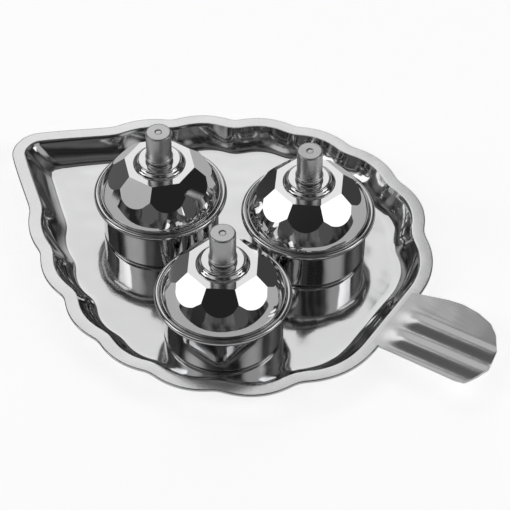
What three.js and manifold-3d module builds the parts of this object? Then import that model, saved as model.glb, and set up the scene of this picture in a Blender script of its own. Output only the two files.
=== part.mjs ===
// Kumkum holder: a leaf shaped steel tray with a ribbed stalk for a handle,
// and three loose cups, each with a faceted lid and a turned knob.
// Millimetres, +Z up. X runs from the leaf's tip to the stalk, Z = 0 is the tray's underside.
import * as THREE from 'three';
import { mergeVertices } from 'three/addons/utils/BufferGeometryUtils.js';
import { ConvexGeometry } from 'three/addons/geometries/ConvexGeometry.js';
import Module from 'manifold-3d';

const wasm = await Module();
wasm.setup();

// Tray sizes
const LEAF_LENGTH = 186;        // tip to the root of the stalk
const STALK_LENGTH = 41.5;      // root to the end of the stalk
const TRAY_HEIGHT = 9;          // underside to the top of the flange
const SHEET = 1;                // tray sheet
const FLANGE_WIDTH = 5.3;       // flat flange round the leaf
const WALL_INSET = 0.11;        // share of the leaf that the wall takes from rim to floor
const TIP_INSET = 0.16;         // the same along the leaf on the tip's side of its middle
const RIB_HEIGHT = 0.9;         // pressed ribs of the stalk
const RIB_WIDTH = 5;

// Cup sizes
const CUP_RADIUS = 23.6;        // outside of the straight wall
const CUP_HEIGHT = 17.8;        // underside to where the mouth flares
const CUP_WALL = 1;
const BEAD_RADIUS = 1.25;       // rolled bead at the mouth
const MOUTH_RADIUS = 27;        // outside of the bead
const FOOT_ROUND = 1.5;         // rounded edge of the cup's bottom

// Lid sizes: a round dome with sixteen facets cut into it
const LID_RADIUS = 24.4;        // lower edge, which rests in the cup's mouth
const LID_WALL = 1.1;
const TABLE_RADIUS = 14.3;      // corners of the octagon on top
const TABLE_RISE = 17.5;        // octagon above the lid's lower edge
const LOW_FACET_RADIUS = 20.9;  // corners of the lower facets, level with the shoulders
const LOW_FACET_LEAN = 0.6;     // how far they spread for each millimetre downward
const SHOULDER_DROP = 5;        // octagon to where the upper facets meet in pairs
const BOSS_RADIUS = 10.4;       // raised round seat under the knob
const BOSS_TOP_RADIUS = 8.4;
const BOSS_HEIGHT = 2.4;

// Knob and fixing sizes
const KNOB_RADIUS = 5.1;
const KNOB_HEIGHT = 14.2;
const COLLAR_RADIUS = 5.7;
const COLLAR_HEIGHT = 2.6;
const SCREW_RADIUS = 1.7;
const SCREW_HEAD_RADIUS = 3.6;
const SCREW_HEAD_HEIGHT = 2.2;
const SCREW_REACH = 8;          // how far the screw goes into the knob
const WASHER_RADIUS = 5;
const WASHER_THICKNESS = 0.8;

const FIT = 0.2;                // clearance between pieces that touch
const ROUND = 40;               // sides of a large circle
const SMALL = 20;               // sides of a small circle

// Cup places on the tray floor, measured from the leaf's tip, with each lid's turn
const CUPS = [
  { name: 'tip', along: 74.8, across: -2.1, turn: 0.005 },
  { name: 'rear', along: 130.6, across: 21.6, turn: 0.48 },
  { name: 'front', along: 126.7, across: -34.4, turn: 0.52 },
];

// Notches of one side of the leaf from the tip to the root, and how far each lobe between
// them stands out from its chord
const NOTCHES = [[28.3, 29.6], [46.5, 46.7], [69, 61.1], [93.3, 72.3], [118.9, 74.7], [145.8, 67.9],
  [170, 47.5], [LEAF_LENGTH, 17.1]];
const LOBES = [2.4, 3.2, 3.4, 3.1, 3.5, 4.8, 4.5];
const TIP_ROUND = [[0, 3], [2, 7.5], [6, 11.2], [12.2, 16.5]];
const STALK = [[LEAF_LENGTH, 17.1], [197, 20.6], [203, 21.6], [210, 21], [217, 18.6], [221.5, 14.5],
  [226, 6.9], [227.5, -2.4], [226, -7.5], [222.8, -13.2], [219, -14.2], [LEAF_LENGTH - 3, -15.2]];

const length = LEAF_LENGTH + STALK_LENGTH;
const place = (along, across, z = 0) => new THREE.Vector3(along - length / 2, across, z);

// Solids from geometries, and the mesh of a solid
function solid(geometry) {
  const bare = geometry.index ? geometry.toNonIndexed() : geometry.clone();
  bare.deleteAttribute('normal');
  bare.deleteAttribute('uv');
  const merged = mergeVertices(bare, 1e-4);
  return new wasm.Manifold(new wasm.Mesh({
    numProp: 3,
    vertProperties: new Float32Array(merged.attributes.position.array),
    triVerts: new Uint32Array(merged.index.array),
  }));
}

function geometryOf(body) {
  const mesh = body.getMesh();
  const geometry = new THREE.BufferGeometry();
  geometry.setAttribute('position', new THREE.BufferAttribute(new Float32Array(mesh.vertProperties), 3));
  geometry.setIndex(new THREE.BufferAttribute(new Uint32Array(mesh.triVerts), 1));
  geometry.computeVertexNormals();
  return geometry;
}

function turned(profile, sides = ROUND) {
  const lathe = new THREE.LatheGeometry(profile.map(([r, z]) => new THREE.Vector2(r, z)), sides);
  return lathe.rotateX(Math.PI / 2);
}

function arc(centreR, centreZ, radius, from, to, steps) {
  const points = [];
  for (let i = 0; i <= steps; i += 1) {
    const angle = THREE.MathUtils.degToRad(from + (to - from) * i / steps);
    points.push([centreR + radius * Math.cos(angle), centreZ + radius * Math.sin(angle)]);
  }
  return points;
}

function steel(name, geometry, colour, roughness) {
  const material = new THREE.MeshStandardMaterial({ color: colour, roughness, metalness: 1 });
  const mesh = new THREE.Mesh(geometry, material);
  mesh.name = name;
  return mesh;
}

// Leaf outline as one list of points, tip first, round the +Y side and back
function leafSide() {
  const points = [...TIP_ROUND];
  points.push(NOTCHES[0]);
  for (let i = 0; i + 1 < NOTCHES.length; i += 1) {
    const [ax, ay] = NOTCHES[i];
    const [bx, by] = NOTCHES[i + 1];
    const chord = Math.hypot(bx - ax, by - ay);
    const steps = 6;
    for (let k = 1; k <= steps; k += 1) {
      const share = k / steps;
      const out = LOBES[i] * 4 * share * (1 - share);
      points.push([
        ax + (bx - ax) * share - (by - ay) / chord * out,
        ay + (by - ay) * share + (bx - ax) / chord * out,
      ]);
    }
  }
  return points;
}

const side = leafSide();
const centreAlong = LEAF_LENGTH * 0.56;
const leaf = [...side, ...side.slice().reverse().map(([u, v]) => [u, -v])]
  .map(([u, v]) => new THREE.Vector2(u - centreAlong, v));

// The leaf outline moved inward by a width, point by point along its normals
function inset(outline, width) {
  const count = outline.length;
  return outline.map((point, i) => {
    const before = outline[(i + count - 1) % count];
    const after = outline[(i + 1) % count];
    const run = after.clone().sub(before).normalize();
    return new THREE.Vector2(point.x + run.y * width, point.y - run.x * width);
  });
}

// A leaf shaped block with scooped sides: the outline shrinks toward the bottom by a share
function scoopedBlock(outline, low, high, lean, tipLean = lean) {
  const shape = new THREE.Shape(outline);
  const block = new THREE.ExtrudeGeometry(shape, { depth: high - low, bevelEnabled: false, steps: 4 });
  const position = block.attributes.position;
  for (let i = 0; i < position.count; i += 1) {
    const share = position.getZ(i) / (high - low);
    const fall = 1 - Math.sqrt(Math.min(1, share));
    const along = position.getX(i) * (1 - (position.getX(i) < 0 ? tipLean : lean) * fall);
    position.setXYZ(i, along, position.getY(i) * (1 - lean * fall), position.getZ(i) + low);
  }
  block.translate(centreAlong - length / 2, 0, 0);
  return solid(block);
}

function tray() {
  const mouth = inset(leaf, FLANGE_WIDTH);
  const flange = scoopedBlock(leaf, TRAY_HEIGHT - SHEET, TRAY_HEIGHT, 0);
  const bowl = scoopedBlock(inset(leaf, FLANGE_WIDTH - SHEET), 0, TRAY_HEIGHT, WALL_INSET, TIP_INSET);
  const hollow = scoopedBlock(mouth, SHEET, TRAY_HEIGHT + 0.01, WALL_INSET, TIP_INSET);
  const stalkShape = new THREE.Shape(STALK.map(([u, v]) => new THREE.Vector2(u - length / 2, v)));
  const stalkPlate = new THREE.ExtrudeGeometry(stalkShape, { depth: SHEET, bevelEnabled: false });
  stalkPlate.translate(0, 0, TRAY_HEIGHT - SHEET);
  let body = flange.add(bowl).add(solid(stalkPlate)).subtract(hollow);
  for (const across of [-9.5, -1.5, 6.5]) {
    body = body.add(rib(across));
  }
  return steel('leaf_tray', geometryOf(body), 0xc9ccd0, 0.12);
}

// One pressed rib along the stalk: a low rounded ridge that tapers toward the root
function rib(across) {
  const ridge = new THREE.Shape();
  ridge.moveTo(-RIB_WIDTH / 2, -SHEET / 2);
  for (let i = 0; i <= 8; i += 1) {
    const share = i / 8;
    ridge.lineTo(RIB_WIDTH * (share - 0.5), RIB_HEIGHT * Math.sin(Math.PI * share));
  }
  ridge.lineTo(RIB_WIDTH / 2, -SHEET / 2);
  const run = STALK_LENGTH - 9;
  const bar = new THREE.ExtrudeGeometry(ridge, { depth: run, bevelEnabled: false });
  bar.rotateX(Math.PI / 2);
  bar.rotateZ(Math.PI / 2);
  const start = place(LEAF_LENGTH + 0.5, across, TRAY_HEIGHT);
  bar.translate(start.x, start.y, start.z);
  return solid(bar);
}

// Cup: a turned vessel with a rounded foot, a flared mouth and a rolled bead
function cup(spot) {
  const ledge = CUP_HEIGHT + 1.2;
  const beadR = MOUTH_RADIUS - BEAD_RADIUS;
  const profile = [
    [0, 0],
    ...arc(CUP_RADIUS - FOOT_ROUND, FOOT_ROUND, FOOT_ROUND, -90, 0, 2),
    [CUP_RADIUS, CUP_HEIGHT],
    ...arc(beadR, ledge + 0.9, BEAD_RADIUS, -60, 150, 5),
    [beadR - BEAD_RADIUS + 0.1, ledge],
    [CUP_RADIUS - CUP_WALL, ledge],
    [CUP_RADIUS - CUP_WALL, CUP_WALL + 1],
    [CUP_RADIUS - CUP_WALL - 1, CUP_WALL],
    [0, CUP_WALL],
  ];
  const mesh = steel('cup_' + spot.name, geometryOf(solid(turned(profile))), 0xc4c7cb, 0.06);
  mesh.position.copy(place(spot.along, spot.across, SHEET + FIT));
  return mesh;
}

// Eight sided spire that cuts facets into the dome, with its corner radius at two levels
function spire(highRadius, high, lowRadius, low, half) {
  const points = [];
  for (const [radius, z] of [[highRadius, high], [lowRadius, low]]) {
    for (let i = 0; i < 8; i += 1) {
      const angle = (i + half) * Math.PI / 4;
      points.push(new THREE.Vector3(radius * Math.cos(angle), radius * Math.sin(angle), z));
    }
  }
  return solid(new ConvexGeometry(points));
}

function lid(spot) {
  const dome = turned([
    [0, 0],
    [LID_RADIUS, 0],
    [LID_RADIUS, 2],
    [LID_RADIUS - 0.4, 3.6],
    [LID_RADIUS - 1.4, 6],
    [LID_RADIUS - 3.1, 9.2],
    [LID_RADIUS - 4.9, 12.5],
    [LID_RADIUS - 7.6, 16],
    [LID_RADIUS - 9.2, TABLE_RISE + 0.1],
    [0, TABLE_RISE + 0.1],
  ], 64);
  const spread = TABLE_RISE / Math.cos(Math.PI / 8);
  const upper = spire(TABLE_RADIUS, TABLE_RISE, TABLE_RADIUS + spread, 0, 0.5);
  const shoulder = TABLE_RISE - SHOULDER_DROP;
  const above = LOW_FACET_RADIUS - LOW_FACET_LEAN * (SHOULDER_DROP + 1);
  const below = LOW_FACET_RADIUS + LOW_FACET_LEAN * shoulder;
  const lower = spire(above, TABLE_RISE + 1, below, 0, 0);
  const boss = turned([
    [0, TABLE_RISE - 1],
    [BOSS_RADIUS, TABLE_RISE - 1],
    [BOSS_RADIUS, TABLE_RISE],
    [BOSS_TOP_RADIUS, TABLE_RISE + BOSS_HEIGHT],
    [0, TABLE_RISE + BOSS_HEIGHT],
  ]);
  const hollow = turned([
    [0, -1],
    [LID_RADIUS - LID_WALL, -1],
    [LID_RADIUS - LID_WALL, 2],
    [LID_RADIUS - LID_WALL - 1.8, 6],
    [LID_RADIUS - LID_WALL - 3.5, 9],
    [LID_RADIUS - LID_WALL - 6.1, 12],
    [TABLE_RADIUS - 1.5, TABLE_RISE - LID_WALL],
    [0, TABLE_RISE - LID_WALL],
  ]);
  const hole = turned([
    [0, 0],
    [SCREW_RADIUS + FIT, 0],
    [SCREW_RADIUS + FIT, TABLE_RISE + 5],
    [0, TABLE_RISE + 5],
  ], SMALL);
  const outside = solid(dome).intersect(upper).intersect(lower).add(solid(boss));
  const body = outside.subtract(solid(hollow)).subtract(solid(hole));
  const mesh = steel('lid_' + spot.name, geometryOf(body), 0xd2d4d8, 0.05);
  mesh.position.copy(place(spot.along, spot.across, lidBase));
  mesh.rotation.z = spot.turn;
  return mesh;
}

function knob(spot) {
  const bore = SCREW_RADIUS + FIT;
  const profile = [
    [bore, 0],
    [COLLAR_RADIUS - 0.6, 0],
    ...arc(COLLAR_RADIUS - COLLAR_HEIGHT / 2, COLLAR_HEIGHT / 2, COLLAR_HEIGHT / 2, -60, 60, 3),
    [KNOB_RADIUS, COLLAR_HEIGHT + 0.1],
    [KNOB_RADIUS, KNOB_HEIGHT - 0.4],
    [KNOB_RADIUS - 0.4, KNOB_HEIGHT],
    [0, KNOB_HEIGHT],
    [0, SCREW_REACH + 1],
    [bore, SCREW_REACH + 1],
    [bore, 0],
  ];
  const mesh = steel('knob_' + spot.name, geometryOf(solid(turned(profile, SMALL))), 0x8f9296, 0.35);
  mesh.position.copy(place(spot.along, spot.across, lidBase + TABLE_RISE + BOSS_HEIGHT + FIT));
  return mesh;
}

// Washer and screw hold the knob from inside the lid
function washer(spot) {
  const bore = SCREW_RADIUS + FIT;
  const profile = [
    [bore, 0],
    [WASHER_RADIUS, 0],
    [WASHER_RADIUS, WASHER_THICKNESS],
    [bore, WASHER_THICKNESS],
    [bore, 0],
  ];
  const mesh = steel('washer_' + spot.name, geometryOf(solid(turned(profile, SMALL))), 0xb4b6b8, 0.3);
  mesh.position.copy(place(spot.along, spot.across, ceiling - FIT - WASHER_THICKNESS));
  return mesh;
}

function screw(spot) {
  const shaft = LID_WALL + BOSS_HEIGHT + 2 * FIT + WASHER_THICKNESS + SCREW_REACH;
  const profile = [
    [0, 0],
    [SCREW_HEAD_RADIUS - 0.8, 0],
    [SCREW_HEAD_RADIUS, 0.8],
    [SCREW_HEAD_RADIUS, SCREW_HEAD_HEIGHT],
    [SCREW_RADIUS, SCREW_HEAD_HEIGHT],
    [SCREW_RADIUS, SCREW_HEAD_HEIGHT + shaft],
    [0, SCREW_HEAD_HEIGHT + shaft],
  ];
  const slot = new THREE.BoxGeometry(2 * SCREW_HEAD_RADIUS + 1, 0.9, 2);
  const body = solid(turned(profile, SMALL)).subtract(solid(slot));
  const mesh = steel('knob_screw_' + spot.name, geometryOf(body), 0xa9abad, 0.3);
  mesh.position.copy(place(spot.along, spot.across, ceiling - 2 * FIT - WASHER_THICKNESS - SCREW_HEAD_HEIGHT));
  return mesh;
}

const lidBase = SHEET + FIT + CUP_HEIGHT + 1.2 + FIT;
const ceiling = lidBase + TABLE_RISE - LID_WALL;

const holder = new THREE.Group();
holder.add(tray());
for (const spot of CUPS) {
  holder.add(cup(spot));
  holder.add(lid(spot));
  holder.add(knob(spot));
  holder.add(washer(spot));
  holder.add(screw(spot));
}

export default holder;
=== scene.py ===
"""Kumkum holder: a leaf tray of polished steel with three faceted, lidded cups."""
import math

import bmesh
import bpy
from mathutils import Matrix, Vector


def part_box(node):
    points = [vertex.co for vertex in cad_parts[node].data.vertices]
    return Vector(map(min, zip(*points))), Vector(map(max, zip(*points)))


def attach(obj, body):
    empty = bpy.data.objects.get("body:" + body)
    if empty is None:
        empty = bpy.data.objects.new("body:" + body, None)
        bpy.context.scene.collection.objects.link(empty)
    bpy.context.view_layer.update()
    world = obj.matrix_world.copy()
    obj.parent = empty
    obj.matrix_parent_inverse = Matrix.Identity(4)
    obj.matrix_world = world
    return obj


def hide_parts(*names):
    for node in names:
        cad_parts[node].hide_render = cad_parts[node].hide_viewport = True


bl_info = {
    "name": "Kumkum holder",
    "version": (1, 0, 0),
    "blender": (4, 5, 0),
    "location": "3D View > Sidebar > Kumkum",
    "description": "Builds a leaf shaped steel tray with three lidded cups",
    "category": "Add Mesh",
}

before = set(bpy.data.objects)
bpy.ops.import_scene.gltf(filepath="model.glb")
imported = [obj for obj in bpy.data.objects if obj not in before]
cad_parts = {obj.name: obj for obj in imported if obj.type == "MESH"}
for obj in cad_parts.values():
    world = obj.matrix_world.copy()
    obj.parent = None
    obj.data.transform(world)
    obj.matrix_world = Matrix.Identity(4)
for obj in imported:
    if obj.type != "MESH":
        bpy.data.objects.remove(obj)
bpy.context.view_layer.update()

MM = 0.001
CUP_NAMES = ("tip", "rear", "front")
TRAY_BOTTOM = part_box("leaf_tray")[0][2]
TRAY_TOP = TRAY_BOTTOM + 9 * MM
LEAF_LENGTH = 186 * MM
STALK_LENGTH = 41.5 * MM
HALF_LENGTH = (LEAF_LENGTH + STALK_LENGTH) / 2
LEAF_MIDDLE = LEAF_LENGTH * 0.56 - HALF_LENGTH
CUP_RADIUS = 23.6 * MM
MOUTH_RADIUS = 27 * MM
LEDGE_RISE = 19 * MM            # shelf that the lid rests on, above the cup's underside
SHOULDER_DROP = 5 * MM          # octagon of a lid to where its upper facets meet in pairs
LOW_FACET_LEAN = 0.6            # how far a lid's lower facets spread for each unit downward
RIB_PITCH = 11                  # distance between the waves of the stalk, in mm
VIEW_AZIMUTH = math.radians(32.7)

# Notches of one side of the leaf from the tip to the root, and the stand-out of each lobe, in mm
NOTCHES = ((28.3, 29.6), (46.5, 46.7), (69, 61.1), (93.3, 72.3), (118.9, 74.7), (145.8, 67.9),
           (170, 47.5), (186, 17.1))
LOBES = (2.4, 3.2, 3.4, 3.1, 3.5, 4.8, 4.5)
# Rounded tip of the leaf up to the start of its first straight edge, in mm
TIP_ROUND = ((0, 0), (0, 3), (2, 7.5), (6, 11.2), (12.2, 16.5))
# Start of the stalk along the leaf and how far it runs from there, in mm
STALK_START = 183
STALK_RUN = 44.5
# Far and near edges of the stalk, as distance along the leaf and across it, in mm
STALK_FAR = ((183, 16), (186, 17.1), (197, 20.6), (203, 21.6), (210, 21), (217, 18.6), (221.5, 14.5),
             (226, 6.9), (227.5, -2.4))
STALK_NEAR = ((183, -15.2), (219, -14.2), (222.8, -13.2), (226, -7.5), (227.5, -2.4))
# Turn of each lid about its knob, in radians
LID_TURNS = {"tip": 0.005, "rear": 0.48, "front": 0.52}


class TraySizes(bpy.types.PropertyGroup):
    flange: bpy.props.FloatProperty(name="Flange", description="Width of the flat rim",
                                    default=5.3 * MM, unit="LENGTH")
    sheet: bpy.props.FloatProperty(name="Sheet", description="Thickness of the tray sheet",
                                   default=1 * MM, unit="LENGTH")
    inset: bpy.props.FloatProperty(name="Wall lean", description="Share of the leaf that the wall takes",
                                   default=0.11, subtype="FACTOR")
    tip_inset: bpy.props.FloatProperty(name="Tip lean", description="The same along the leaf near its tip",
                                       default=0.16, subtype="FACTOR")
    rib: bpy.props.FloatProperty(name="Rib height", description="Height of the stalk's pressed ribs",
                                 default=0.9 * MM, unit="LENGTH")
    colour: bpy.props.FloatVectorProperty(name="Colour", description="Colour of the tray's steel",
                                          default=(0.72, 0.72, 0.725), subtype="COLOR")


class CupSizes(bpy.types.PropertyGroup):
    bead: bpy.props.FloatProperty(name="Bead", description="Radius of the rolled rim",
                                  default=1.25 * MM, unit="LENGTH")
    wall: bpy.props.FloatProperty(name="Wall", description="Thickness of the cup's wall",
                                  default=1 * MM, unit="LENGTH")
    foot: bpy.props.FloatProperty(name="Foot round", description="Radius of the bottom edge",
                                  default=1.5 * MM, unit="LENGTH")
    colour: bpy.props.FloatVectorProperty(name="Colour", description="Colour of the cups' steel",
                                          default=(0.7, 0.7, 0.705), subtype="COLOR")


class LidSizes(bpy.types.PropertyGroup):
    table: bpy.props.FloatProperty(name="Table", description="Corner radius of the octagon on top",
                                   default=14.3 * MM, unit="LENGTH")
    rise: bpy.props.FloatProperty(name="Rise", description="Height of the octagon above the lower edge",
                                  default=17.5 * MM, unit="LENGTH")
    low_facet: bpy.props.FloatProperty(name="Low facets", description="Corner radius at the shoulders",
                                       default=20.9 * MM, unit="LENGTH")
    boss: bpy.props.FloatProperty(name="Boss", description="Radius of the raised seat under the knob",
                                  default=10.4 * MM, unit="LENGTH")
    colour: bpy.props.FloatVectorProperty(name="Colour", description="Colour of the lids' steel",
                                          default=(0.78, 0.78, 0.785), subtype="COLOR")


class KnobSizes(bpy.types.PropertyGroup):
    radius: bpy.props.FloatProperty(name="Radius", description="Radius of the turned knob",
                                    default=5.1 * MM, unit="LENGTH")
    colour: bpy.props.FloatVectorProperty(name="Colour", description="Colour of the knobs' steel",
                                          default=(0.62, 0.62, 0.625), subtype="COLOR")


def steel(name, colour, roughness, streak=0.0, ring=0.0, wave=0.0):
    """Polished steel with faint smears, and turning rings, rolling streaks or shallow dents where asked."""
    mat = bpy.data.materials.new(name)
    mat.use_nodes = True
    nodes, links = mat.node_tree.nodes, mat.node_tree.links
    shader = nodes["Principled BSDF"]
    shader.inputs["Metallic"].default_value = 1
    coords = nodes.new("ShaderNodeTexCoord")
    smear = nodes.new("ShaderNodeTexNoise")
    smear.inputs["Scale"].default_value = 60
    smear.inputs["Detail"].default_value = 4
    links.new(coords.outputs["Object"], smear.inputs["Vector"])
    tone = nodes.new("ShaderNodeMix")
    tone.data_type = "RGBA"
    tone.inputs["A"].default_value = (*[c * 0.93 for c in colour], 1)
    tone.inputs["B"].default_value = (*colour, 1)
    links.new(smear.outputs["Fac"], tone.inputs["Factor"])
    links.new(tone.outputs["Result"], shader.inputs["Base Color"])
    gloss = nodes.new("ShaderNodeMapRange")
    gloss.inputs["To Min"].default_value = roughness * 0.7
    gloss.inputs["To Max"].default_value = roughness * 1.4
    links.new(smear.outputs["Fac"], gloss.inputs["Value"])
    links.new(gloss.outputs["Result"], shader.inputs["Roughness"])
    stretch = nodes.new("ShaderNodeMapping")
    links.new(coords.outputs["Object"], stretch.inputs["Vector"])
    stretch.inputs["Scale"].default_value = (200, 200, 9000) if ring else (150, 1500, 1500)
    grain = nodes.new("ShaderNodeTexNoise")
    grain.inputs["Scale"].default_value = 1
    links.new(stretch.outputs["Vector"], grain.inputs["Vector"])
    bump = nodes.new("ShaderNodeBump")
    bump.inputs["Strength"].default_value = max(streak, ring)
    bump.inputs["Distance"].default_value = 0.00005
    links.new(grain.outputs["Fac"], bump.inputs["Height"])
    dents = nodes.new("ShaderNodeTexNoise")
    dents.inputs["Scale"].default_value = 32
    dents.inputs["Detail"].default_value = 2
    links.new(coords.outputs["Object"], dents.inputs["Vector"])
    swell = nodes.new("ShaderNodeBump")
    swell.inputs["Strength"].default_value = wave
    swell.inputs["Distance"].default_value = 0.0007
    links.new(dents.outputs["Fac"], swell.inputs["Height"])
    links.new(swell.outputs["Normal"], bump.inputs["Normal"])
    links.new(bump.outputs["Normal"], shader.inputs["Normal"])
    return mat


def new_piece(name, verts, faces, material, body, sharp=35):
    """One mesh object with smooth faces and sharp edges above an angle, riding on a body."""
    mesh = bpy.data.meshes.new(name)
    mesh.from_pydata(verts, [], faces)
    mesh.validate()
    mesh.polygons.foreach_set("use_smooth", [True] * len(mesh.polygons))
    mesh.set_sharp_from_angle(angle=math.radians(sharp))
    mesh.materials.append(material)
    obj = bpy.data.objects.new(name, mesh)
    bpy.context.scene.collection.objects.link(obj)
    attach(obj, body)
    return obj


def lathe(profile, centre, sides=144):
    """Vertices and faces of a profile of (radius, height) turned about a vertical axis."""
    verts = []
    rings = []
    for radius, z in profile:
        if radius < 1e-9:
            rings.append([len(verts)])
            verts.append((centre[0], centre[1], z))
            continue
        start = len(verts)
        for i in range(sides):
            angle = 2 * math.pi * i / sides
            verts.append((centre[0] + radius * math.cos(angle), centre[1] + radius * math.sin(angle), z))
        rings.append(list(range(start, start + sides)))
    return verts, joined_rings(rings)


def joined_rings(rings):
    """Faces between neighbouring closed rings; a ring of one vertex closes into a fan."""
    faces = []
    for a, b in zip(rings, rings[1:]):
        count = max(len(a), len(b))
        for i in range(count):
            j = (i + 1) % count
            if len(a) == 1:
                faces.append((a[0], b[j], b[i]))
            elif len(b) == 1:
                faces.append((a[i], a[j], b[0]))
            else:
                faces.append((a[i], a[j], b[j], b[i]))
    return faces


def arc(radius, height, bend, start, end, steps):
    """Profile points on an arc about (radius, height)."""
    points = []
    for i in range(steps + 1):
        angle = math.radians(start + (end - start) * i / steps)
        points.append((radius + bend * math.cos(angle), height + bend * math.sin(angle)))
    return points


def along_line(points, share):
    """Point at a share of the way along a run of points."""
    spans = [math.dist(a, b) for a, b in zip(points, points[1:])]
    target = share * sum(spans)
    for a, b, span in zip(points, points[1:], spans):
        if target <= span or b is points[-1]:
            part = min(1, target / span)
            return tuple(p + (q - p) * part for p, q in zip(a, b))
        target -= span


def leaf_outline():
    """Closed outline of the leaf about its middle, in metres, with lobes between notches."""
    side = [along_line(TIP_ROUND, i / 16) for i in range(17)]
    tip_end, first = TIP_ROUND[-1], NOTCHES[0]
    side += [tuple(p + (q - p) * i / 8 for p, q in zip(tip_end, first)) for i in range(1, 9)]
    for (ax, ay), (bx, by), lobe in zip(NOTCHES, NOTCHES[1:], LOBES):
        chord = math.hypot(bx - ax, by - ay)
        for k in range(1, 19):
            share = k / 18
            out = lobe * 4 * share * (1 - share)
            side.append((ax + (bx - ax) * share - (by - ay) / chord * out,
                         ay + (by - ay) * share + (bx - ax) / chord * out))
    side = soft(side, 2)
    back = [(u, -v) for u, v in reversed(side)]
    return [(u * MM - HALF_LENGTH, v * MM) for u, v in side + back[:-1]]


def soft(points, rounds):
    """The same run of points with its corners eased a little."""
    for _ in range(rounds):
        eased = [points[0]]
        for a, b, c in zip(points, points[1:], points[2:]):
            eased.append(tuple((p + 2 * q + r) / 4 for p, q, r in zip(a, b, c)))
        points = eased + [points[-1]]
    return points


def inset(outline, width):
    """The outline moved inward along its normals."""
    count = len(outline)
    moved = []
    for i, (x, y) in enumerate(outline):
        ax, ay = outline[i - 2]
        bx, by = outline[(i + 2) % count]
        run = math.hypot(bx - ax, by - ay)
        moved.append((x + (by - ay) / run * width, y - (bx - ax) / run * width))
    return moved


def drawn_in(outline, sizes, share):
    """The outline drawn in toward the middle of the leaf by a share of the wall's lean."""
    points = []
    for x, y in outline:
        blend = min(1, max(0, (LEAF_MIDDLE - x) / (20 * MM)))
        lean = sizes.inset + (sizes.tip_inset - sizes.inset) * blend
        along = LEAF_MIDDLE + (x - LEAF_MIDDLE) * (1 - lean * share)
        points.append((along, y * (1 - sizes.inset * share)))
    return points


class KUMKUM_OT_tray(bpy.types.Operator):
    """Build the pressed leaf tray with its fluted wall and ribbed stalk"""
    bl_idname = "kumkum.tray"
    bl_label = "Leaf tray"

    def execute(self, context):
        sizes = context.scene.kumkum_tray
        polished = steel("tray steel", sizes.colour, 0.08, streak=0.06, wave=1)
        satin = steel("satin steel", (0.84, 0.84, 0.845), 0.22, streak=0.3, wave=0.5)
        verts, rings = [], []
        for ring, z in tray_rings(sizes):
            rings.append(list(range(len(verts), len(verts) + len(ring))))
            verts += [(x, y, z) for x, y in ring]
        faces = [tuple(reversed(face)) for face in joined_rings(rings)]
        faces += [tuple(reversed(rings[-1])), tuple(rings[0])]
        tray = new_piece("polished_tray", verts, faces, polished, "tray", 50)
        tray.data.materials.append(satin)
        for face in tray.data.polygons:
            if face.center.z > TRAY_TOP - 0.06 * MM:
                face.material_index = 1
        stalk = build_stalk(sizes, satin)
        stalk.parent = tray
        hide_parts("leaf_tray")
        return {"FINISHED"}


def tray_rings(sizes):
    """Rings of the tray, from its underside out round the flange and in again to its floor."""
    outline = leaf_outline()
    mouth = inset(outline, sizes.flange)
    outside = inset(outline, sizes.flange - sizes.sheet)
    floor = TRAY_BOTTOM + sizes.sheet
    lip = TRAY_TOP - 0.1 * MM
    rings = []
    for i in range(6):
        share = 1 - i / 5
        rise = (TRAY_TOP - sizes.sheet - TRAY_BOTTOM) * (1 - share) ** 2
        rings.append((drawn_in(outside, sizes, share), TRAY_BOTTOM + rise))
    rings += [(outline, TRAY_TOP - sizes.sheet), (outline, TRAY_TOP - 0.15 * MM)]
    for width, drop in ((0.2 * MM, 0), (0.5 * MM, 0), (sizes.flange - 0.8 * MM, 0),
                        (sizes.flange - 0.4 * MM, 0.02 * MM)):
        rings.append((inset(outline, width), TRAY_TOP - drop))
    for i in range(13):
        share = i / 12
        fall = 1 - (1 - share) ** 2
        rings.append((drawn_in(mouth, sizes, share), lip - (lip - floor) * fall))
    rings.append((drawn_in(mouth, sizes, 1.25), floor))
    return rings


def build_stalk(sizes, material):
    """Flat stalk of the leaf with pressed ribs, closed below."""
    across, along = 96, 40
    upper, lower = [], []
    for i in range(along + 1):
        u = STALK_START + STALK_RUN * (1 - (1 - i / along) ** 1.6)
        far, near = at_length(STALK_FAR, u), at_length(STALK_NEAR, u)
        for k in range(across + 1):
            v = near + (far - near) * k / across
            rise = rib_height(u, v) * sizes.rib
            upper.append((u * MM - HALF_LENGTH, v * MM, TRAY_TOP + 0.02 * MM + rise))
            lower.append((u * MM - HALF_LENGTH, v * MM, TRAY_TOP - sizes.sheet + rise * 0.6))
    wide = across + 1
    count = len(upper)
    faces = []
    for i in range(along):
        for k in range(across):
            a = i * wide + k
            faces.append((a, a + wide, a + wide + 1, a + 1))
            faces.append((count + a, count + a + 1, count + a + wide + 1, count + a + wide))
    for i in range(along):
        for k in (0, across):
            a = i * wide + k
            quad = (a, a + wide, count + a + wide, count + a)
            faces.append(quad if k else tuple(reversed(quad)))
    for k in range(across):
        faces.append((k, k + 1, count + k + 1, count + k))
    return new_piece("ribbed_stalk", upper + lower, faces, material, "tray", 60)


def at_length(edge, u):
    """How far across the leaf an edge lies at a distance along it."""
    for (a, va), (b, vb) in zip(edge, edge[1:]):
        if u <= b:
            return va + (vb - va) * max(0, (u - a) / (b - a))
    return edge[-1][1]


def rib_height(u, v):
    """Height of the stalk's pressed waves, from 0 to 1, at a place on it."""
    slant = (u - 205) * 0.05
    wave = 0.5 + 0.5 * math.cos(2 * math.pi * (v - 4 - slant) / RIB_PITCH)
    fade = min(1, max(0, (u - 184) / 8))
    side = min(1, max(0, (11 - v) / 4))
    return wave * fade * fade * side


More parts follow.
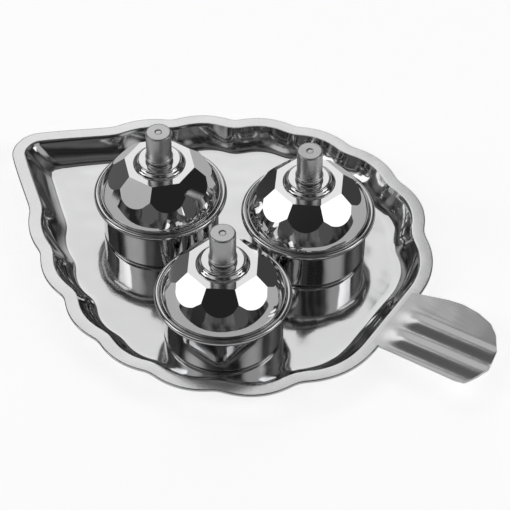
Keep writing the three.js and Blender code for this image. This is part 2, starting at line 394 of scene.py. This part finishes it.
def cup_place(name):
    """Middle of a cup on the tray and the level of its underside."""
    low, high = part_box("cup_" + name)
    return ((low[0] + high[0]) / 2, (low[1] + high[1]) / 2), low[2]


def knob_place(name):
    """Middle of a knob, with its lowest and highest level."""
    low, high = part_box("knob_" + name)
    return ((low[0] + high[0]) / 2, (low[1] + high[1]) / 2), low[2], high[2]


class KUMKUM_OT_cups(bpy.types.Operator):
    """Build the round cups with their rolled rims"""
    bl_idname = "kumkum.cups"
    bl_label = "Cups"

    def execute(self, context):
        sizes = context.scene.kumkum_cup
        material = steel("cup steel", sizes.colour, 0.05, streak=0.04)
        for name in CUP_NAMES:
            centre, base = cup_place(name)
            verts, faces = lathe(cup_profile(sizes, base), centre)
            cup = new_piece("polished_cup_" + name, verts, faces, material, "cup_" + name)
            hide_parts("cup_" + name)
        return {"FINISHED"}


def cup_profile(sizes, base):
    """Section of a cup from the middle of its underside, round the bead and down to its floor."""
    ledge = base + LEDGE_RISE
    bead = MOUTH_RADIUS - sizes.bead
    inside = CUP_RADIUS - sizes.wall
    profile = [(0, base)]
    profile += arc(CUP_RADIUS - sizes.foot, base + sizes.foot, sizes.foot, -90, 0, 8)
    profile += [(CUP_RADIUS, base + 16 * MM), (CUP_RADIUS + 0.15 * MM, base + 17.6 * MM),
                (CUP_RADIUS + 0.9 * MM, base + 18.6 * MM)]
    profile += arc(bead, ledge + 0.9 * MM, sizes.bead, -60, 170, 16)
    profile += [(bead - sizes.bead, ledge + 0.2 * MM), (inside + 0.3 * MM, ledge),
                (inside, ledge - 0.3 * MM), (inside, base + 2.2 * MM),
                (inside - 1.2 * MM, base + sizes.wall), (0, base + sizes.wall)]
    return profile


class KUMKUM_OT_lids(bpy.types.Operator):
    """Build the faceted lids with the seats for their knobs"""
    bl_idname = "kumkum.lids"
    bl_label = "Lids"

    def execute(self, context):
        sizes = context.scene.kumkum_lid
        material = steel("lid steel", sizes.colour, 0.04, streak=0.02)
        for name in CUP_NAMES:
            centre, _, _ = knob_place(name)
            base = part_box("lid_" + name)[0][2]
            dome = build_dome(name, sizes, centre, base, material)
            verts, faces = lathe(boss_profile(sizes, base + sizes.rise), centre)
            boss = new_piece("lid_boss_" + name, verts, faces, material, "lid_" + name, 40)
            boss.parent = dome
            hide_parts("lid_" + name)
        return {"FINISHED"}


def boss_profile(sizes, top):
    """Raised round seat under the knob, with a soft step at its edge."""
    outline = ((0.3, -0.05), (0.05, 0.02), (-0.1, 0.2), (-0.3, 0.75), (-0.7, 1.15), (-1.2, 1.4),
               (-1.6, 1.75), (-1.75, 2.1), (-1.95, 2.33), (-2.3, 2.4), (-2.8, 2.4), (-8, 2.4), (-8.5, 2.4))
    return [(sizes.boss + out * MM, top + z * MM) for out, z in outline]


def dome_profile(base):
    """Section of a lid from its top down the round outside and up again inside."""
    outline = [(15.2, 17.7), (16.8, 16.1), (18.5, 14.1), (19.5, 12.5), (20.4, 10.9), (21.3, 9.2),
               (22.1, 7.8), (22.9, 6.2), (23.6, 4.6), (24.1, 3.4), (24.35, 2.6), (24.4, 2)]
    outline = soft([along_line(outline, i / 36) for i in range(37)], 6)
    edge = [(24.4, 0.15), (24.25, 0)]
    hollow = [(23.3, 0), (23.3, 2), (21.5, 6), (19.8, 9), (17.2, 12), (12.9, 16.4), (1.9, 16.4), (0, 16.4)]
    return [(radius * MM, base + z * MM) for radius, z in [(0, 17.7)] + outline + edge + hollow]


def facet_planes(name, sizes, centre, base):
    """A point and an outward normal for the octagon and each of the sixteen facets."""
    table = base + sizes.rise
    flat = math.cos(math.pi / 8)
    upper = (0, sizes.table, table, 1)
    lower = (0.5, sizes.low_facet, table - SHOULDER_DROP, LOW_FACET_LEAN * flat)
    planes = [((centre[0], centre[1], table), (0, 0, 1))]
    for i in range(8):
        for half, corner, level, lean in (upper, lower):
            angle = (i + half) * math.pi / 4 + LID_TURNS[name]
            out = Vector((math.cos(angle), math.sin(angle), 0))
            place = Vector((centre[0], centre[1], level)) + out * corner * flat
            planes.append((place, (out + Vector((0, 0, lean))).normalized()))
    return planes


def build_dome(name, sizes, centre, base, material):
    """Round shell of the lid with the octagon and the facets cut flat."""
    verts, faces = lathe(dome_profile(base), centre)
    mesh = bmesh.new()
    points = [mesh.verts.new(v) for v in verts]
    for face in faces:
        mesh.faces.new([points[i] for i in face])
    for place, normal in facet_planes(name, sizes, centre, base):
        cut = bmesh.ops.bisect_plane(mesh, geom=mesh.verts[:] + mesh.edges[:] + mesh.faces[:], dist=1e-7,
                                     plane_co=place, plane_no=normal, clear_outer=True)
        rim = [e for e in cut["geom_cut"] if isinstance(e, bmesh.types.BMEdge) and e.is_boundary]
        bmesh.ops.edgeloop_fill(mesh, edges=rim)
    bmesh.ops.recalc_face_normals(mesh, faces=mesh.faces)
    mesh.verts.index_update()
    verts = [v.co[:] for v in mesh.verts]
    faces = [tuple(v.index for v in face.verts) for face in mesh.faces]
    mesh.free()
    dome = new_piece("faceted_lid_" + name, verts, faces, material, "lid_" + name, 30)
    for face in dome.data.polygons:
        face.use_smooth = face.area < 4 * MM * MM
    return dome


class KUMKUM_OT_knobs(bpy.types.Operator):
    """Build the turned knobs and finish the washers and screws that hold them"""
    bl_idname = "kumkum.knobs"
    bl_label = "Knobs"

    def execute(self, context):
        sizes = context.scene.kumkum_knob
        material = steel("turned steel", sizes.colour, 0.28, ring=0.5)
        plain = steel("fastener steel", sizes.colour, 0.3, ring=0.2)
        for name in CUP_NAMES:
            centre, base, top = knob_place(name)
            verts, faces = lathe(knob_profile(sizes.radius, base, top), centre, 96)
            knob = new_piece("turned_knob_" + name, verts, faces, material, "lid_" + name, 50)
            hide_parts("knob_" + name)
            for kind in ("washer_", "knob_screw_"):
                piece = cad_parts[kind + name]
                piece.data.materials.clear()
                piece.data.materials.append(plain)
        return {"FINISHED"}


def knob_profile(radius, base, top):
    """Section of a knob from its bore, round the collar and up to the dimple on top."""
    profile = [(1.9 * MM, base), (5.0 * MM, base)]
    profile += arc(4.3 * MM, base + 1.3 * MM, 1.3 * MM, -60, 75, 10)
    profile += [(radius, base + 2.75 * MM), (radius, top - 0.5 * MM),
                (radius - 0.15 * MM, top - 0.15 * MM), (radius - 0.5 * MM, top),
                (radius - 0.9 * MM, top), (1.7 * MM, top), (1.4 * MM, top),
                (1.2 * MM, top - 0.15 * MM), (0.8 * MM, top - 0.2 * MM), (0, top - 0.05 * MM)]
    return profile


class KUMKUM_OT_studio(bpy.types.Operator):
    """Set the floor, the soft lights and the camera"""
    bl_idname = "kumkum.studio"
    bl_label = "Studio"

    def execute(self, context):
        white_floor(context)
        studio_world(context)
        for name, toward, size, radiance in (
                ("left softbox", (-1.1, -0.2, 0.62), (0.5, 0.7), 1.35),
                ("right softbox", (1.1, -0.2, 0.62), (0.5, 0.7), 1.35),
                ("high softbox", (-0.3, 1.1, 1.2), (1.0, 0.6), 0.88)):
            softbox(name, from_camera_side(Vector(toward)), size, radiance)
        camera_like_photo(context)
        return {"FINISHED"}


def from_camera_side(direction):
    """A direction given as right, away and up from the camera, turned into the leaf's frame."""
    return Matrix.Rotation(VIEW_AZIMUTH, 3, "Z") @ direction


def softbox(name, place, size, radiance):
    """Rectangular area lamp that faces the object, with its brightness as a radiance."""
    lamp = bpy.data.lights.new(name, "AREA")
    lamp.shape = "RECTANGLE"
    lamp.size, lamp.size_y = size
    lamp.energy = radiance * math.pi * size[0] * size[1]
    obj = bpy.data.objects.new(name, lamp)
    bpy.context.scene.collection.objects.link(obj)
    obj.location = place
    obj.visible_camera = False
    obj.rotation_euler = (Vector((0, 0, 0.02)) - place).to_track_quat("-Z", "Y").to_euler()


def white_floor(context):
    """White floor that keeps the object's shadow."""
    mesh = bpy.data.meshes.new("floor")
    reach = 0.4
    corners = [(-reach, -reach, 0), (reach, -reach, 0), (reach, reach, 0), (-reach, reach, 0)]
    mesh.from_pydata(corners, [], [(0, 1, 2, 3)])
    floor = bpy.data.objects.new("floor", mesh)
    floor.location.z = -0.0002
    context.scene.collection.objects.link(floor)
    mat = bpy.data.materials.new("white floor")
    mat.use_nodes = True
    nodes, links = mat.node_tree.nodes, mat.node_tree.links
    paint = nodes["Principled BSDF"]
    paint.inputs["Base Color"].default_value = (0.9, 0.9, 0.9, 1)
    paint.inputs["Roughness"].default_value = 1
    glow = nodes.new("ShaderNodeEmission")
    path = nodes.new("ShaderNodeLightPath")
    share = nodes.new("ShaderNodeMath")
    share.operation = "MULTIPLY_ADD"
    share.inputs[1].default_value = 0.25
    direct = nodes.new("ShaderNodeMath")
    direct.operation = "MULTIPLY"
    direct.inputs[1].default_value = 0.72
    links.new(path.outputs["Is Camera Ray"], direct.inputs[0])
    links.new(path.outputs["Is Glossy Ray"], share.inputs[0])
    links.new(direct.outputs[0], share.inputs[2])
    links.new(share.outputs[0], glow.inputs["Strength"])
    added = nodes.new("ShaderNodeAddShader")
    links.new(paint.outputs[0], added.inputs[0])
    links.new(glow.outputs[0], added.inputs[1])
    links.new(added.outputs[0], nodes["Material Output"].inputs["Surface"])
    mesh.materials.append(mat)


def studio_world(context):
    """White behind the object, and for the metal a dim uneven room with three pale patches."""
    world = bpy.data.worlds.new("studio")
    context.scene.world = world
    world.use_nodes = True
    nodes, links = world.node_tree.nodes, world.node_tree.links
    coords = nodes.new("ShaderNodeTexCoord")
    room = nodes["Background"]
    room.inputs["Color"].default_value = (1, 1, 1, 1)
    clutter = nodes.new("ShaderNodeTexNoise")
    clutter.inputs["Scale"].default_value = 2.2
    clutter.inputs["Detail"].default_value = 3
    links.new(coords.outputs["Generated"], clutter.inputs["Vector"])
    dim = nodes.new("ShaderNodeMapRange")
    dim.inputs["From Min"].default_value = 0.42
    dim.inputs["From Max"].default_value = 0.7
    dim.inputs["To Min"].default_value = 0.02
    dim.inputs["To Max"].default_value = 0.2
    links.new(clutter.outputs["Fac"], dim.inputs["Value"])
    total = dim.outputs["Result"]
    for toward, inner, outer, level in (((0.1, 0.9, 0.3), 8, 30, 0.4), ((-0.6, -0.36, 0.72), 8, 20, 0.5),
                                        ((0.6, -0.36, 0.72), 8, 20, 0.5)):
        facing = nodes.new("ShaderNodeVectorMath")
        facing.operation = "DOT_PRODUCT"
        facing.inputs[1].default_value = from_camera_side(Vector(toward)).normalized()
        links.new(coords.outputs["Generated"], facing.inputs[0])
        patch = nodes.new("ShaderNodeMapRange")
        patch.interpolation_type = "SMOOTHSTEP"
        patch.inputs["From Min"].default_value = math.cos(math.radians(outer))
        patch.inputs["From Max"].default_value = math.cos(math.radians(inner))
        patch.inputs["To Max"].default_value = level
        links.new(facing.outputs["Value"], patch.inputs["Value"])
        both = nodes.new("ShaderNodeMath")
        links.new(total, both.inputs[0])
        links.new(patch.outputs["Result"], both.inputs[1])
        total = both.outputs[0]
    links.new(total, room.inputs["Strength"])
    white = nodes.new("ShaderNodeBackground")
    white.inputs["Color"].default_value = (1, 1, 1, 1)
    path = nodes.new("ShaderNodeLightPath")
    mix = nodes.new("ShaderNodeMixShader")
    links.new(path.outputs["Is Camera Ray"], mix.inputs["Fac"])
    links.new(room.outputs[0], mix.inputs[1])
    links.new(white.outputs[0], mix.inputs[2])
    links.new(mix.outputs[0], nodes["World Output"].inputs["Surface"])
    context.scene.view_settings.view_transform = "Standard"


def camera_like_photo(context):
    """Long lens from the front right of the leaf, at the photograph's angle."""
    azimuth, rise, roll = VIEW_AZIMUTH, math.radians(46.44), math.radians(0.376)
    distance = 0.8722
    target = Vector((1.91 * MM, 5.47 * MM, 1.2 * MM))
    away = Vector((-math.sin(azimuth), math.cos(azimuth), 0))
    look = away * math.cos(rise) - Vector((0, 0, math.sin(rise)))
    right = Vector((math.cos(azimuth), math.sin(azimuth), 0))
    up = right.cross(look)
    level_right = right
    right = level_right * math.cos(roll) + up * math.sin(roll)
    up = up * math.cos(roll) - level_right * math.sin(roll)
    data = bpy.data.cameras.new("camera")
    data.sensor_width = 36
    data.lens = 151.1
    camera = bpy.data.objects.new("camera", data)
    context.scene.collection.objects.link(camera)
    turn = Matrix((right, up, -look)).transposed().to_4x4()
    camera.matrix_world = Matrix.Translation(target - look * distance) @ turn
    context.scene.camera = camera


class KUMKUM_PT_panel(bpy.types.Panel):
    """Buttons that build each group of pieces"""
    bl_label = "Kumkum holder"
    bl_space_type = "VIEW_3D"
    bl_region_type = "UI"
    bl_category = "Kumkum"

    def draw(self, context):
        for operator in OPERATORS:
            self.layout.operator(operator.bl_idname)
        for group in SIZES:
            sizes = getattr(context.scene, group)
            for name in sizes.__annotations__:
                self.layout.prop(sizes, name)


OPERATORS = (KUMKUM_OT_tray, KUMKUM_OT_cups, KUMKUM_OT_lids, KUMKUM_OT_knobs, KUMKUM_OT_studio)
SIZES = {"kumkum_tray": TraySizes, "kumkum_cup": CupSizes, "kumkum_lid": LidSizes, "kumkum_knob": KnobSizes}
CLASSES = (*SIZES.values(), *OPERATORS, KUMKUM_PT_panel)


def register():
    for cls in CLASSES:
        bpy.utils.register_class(cls)
    for group, cls in SIZES.items():
        setattr(bpy.types.Scene, group, bpy.props.PointerProperty(type=cls))


def unregister():
    for group in SIZES:
        delattr(bpy.types.Scene, group)
    for cls in reversed(CLASSES):
        bpy.utils.unregister_class(cls)


def main():
    register()
    bpy.ops.kumkum.tray()
    bpy.ops.kumkum.cups()
    bpy.ops.kumkum.lids()
    bpy.ops.kumkum.knobs()
    bpy.ops.kumkum.studio()
    bpy.context.view_layer.update()


if __name__ == "__main__":
    main()
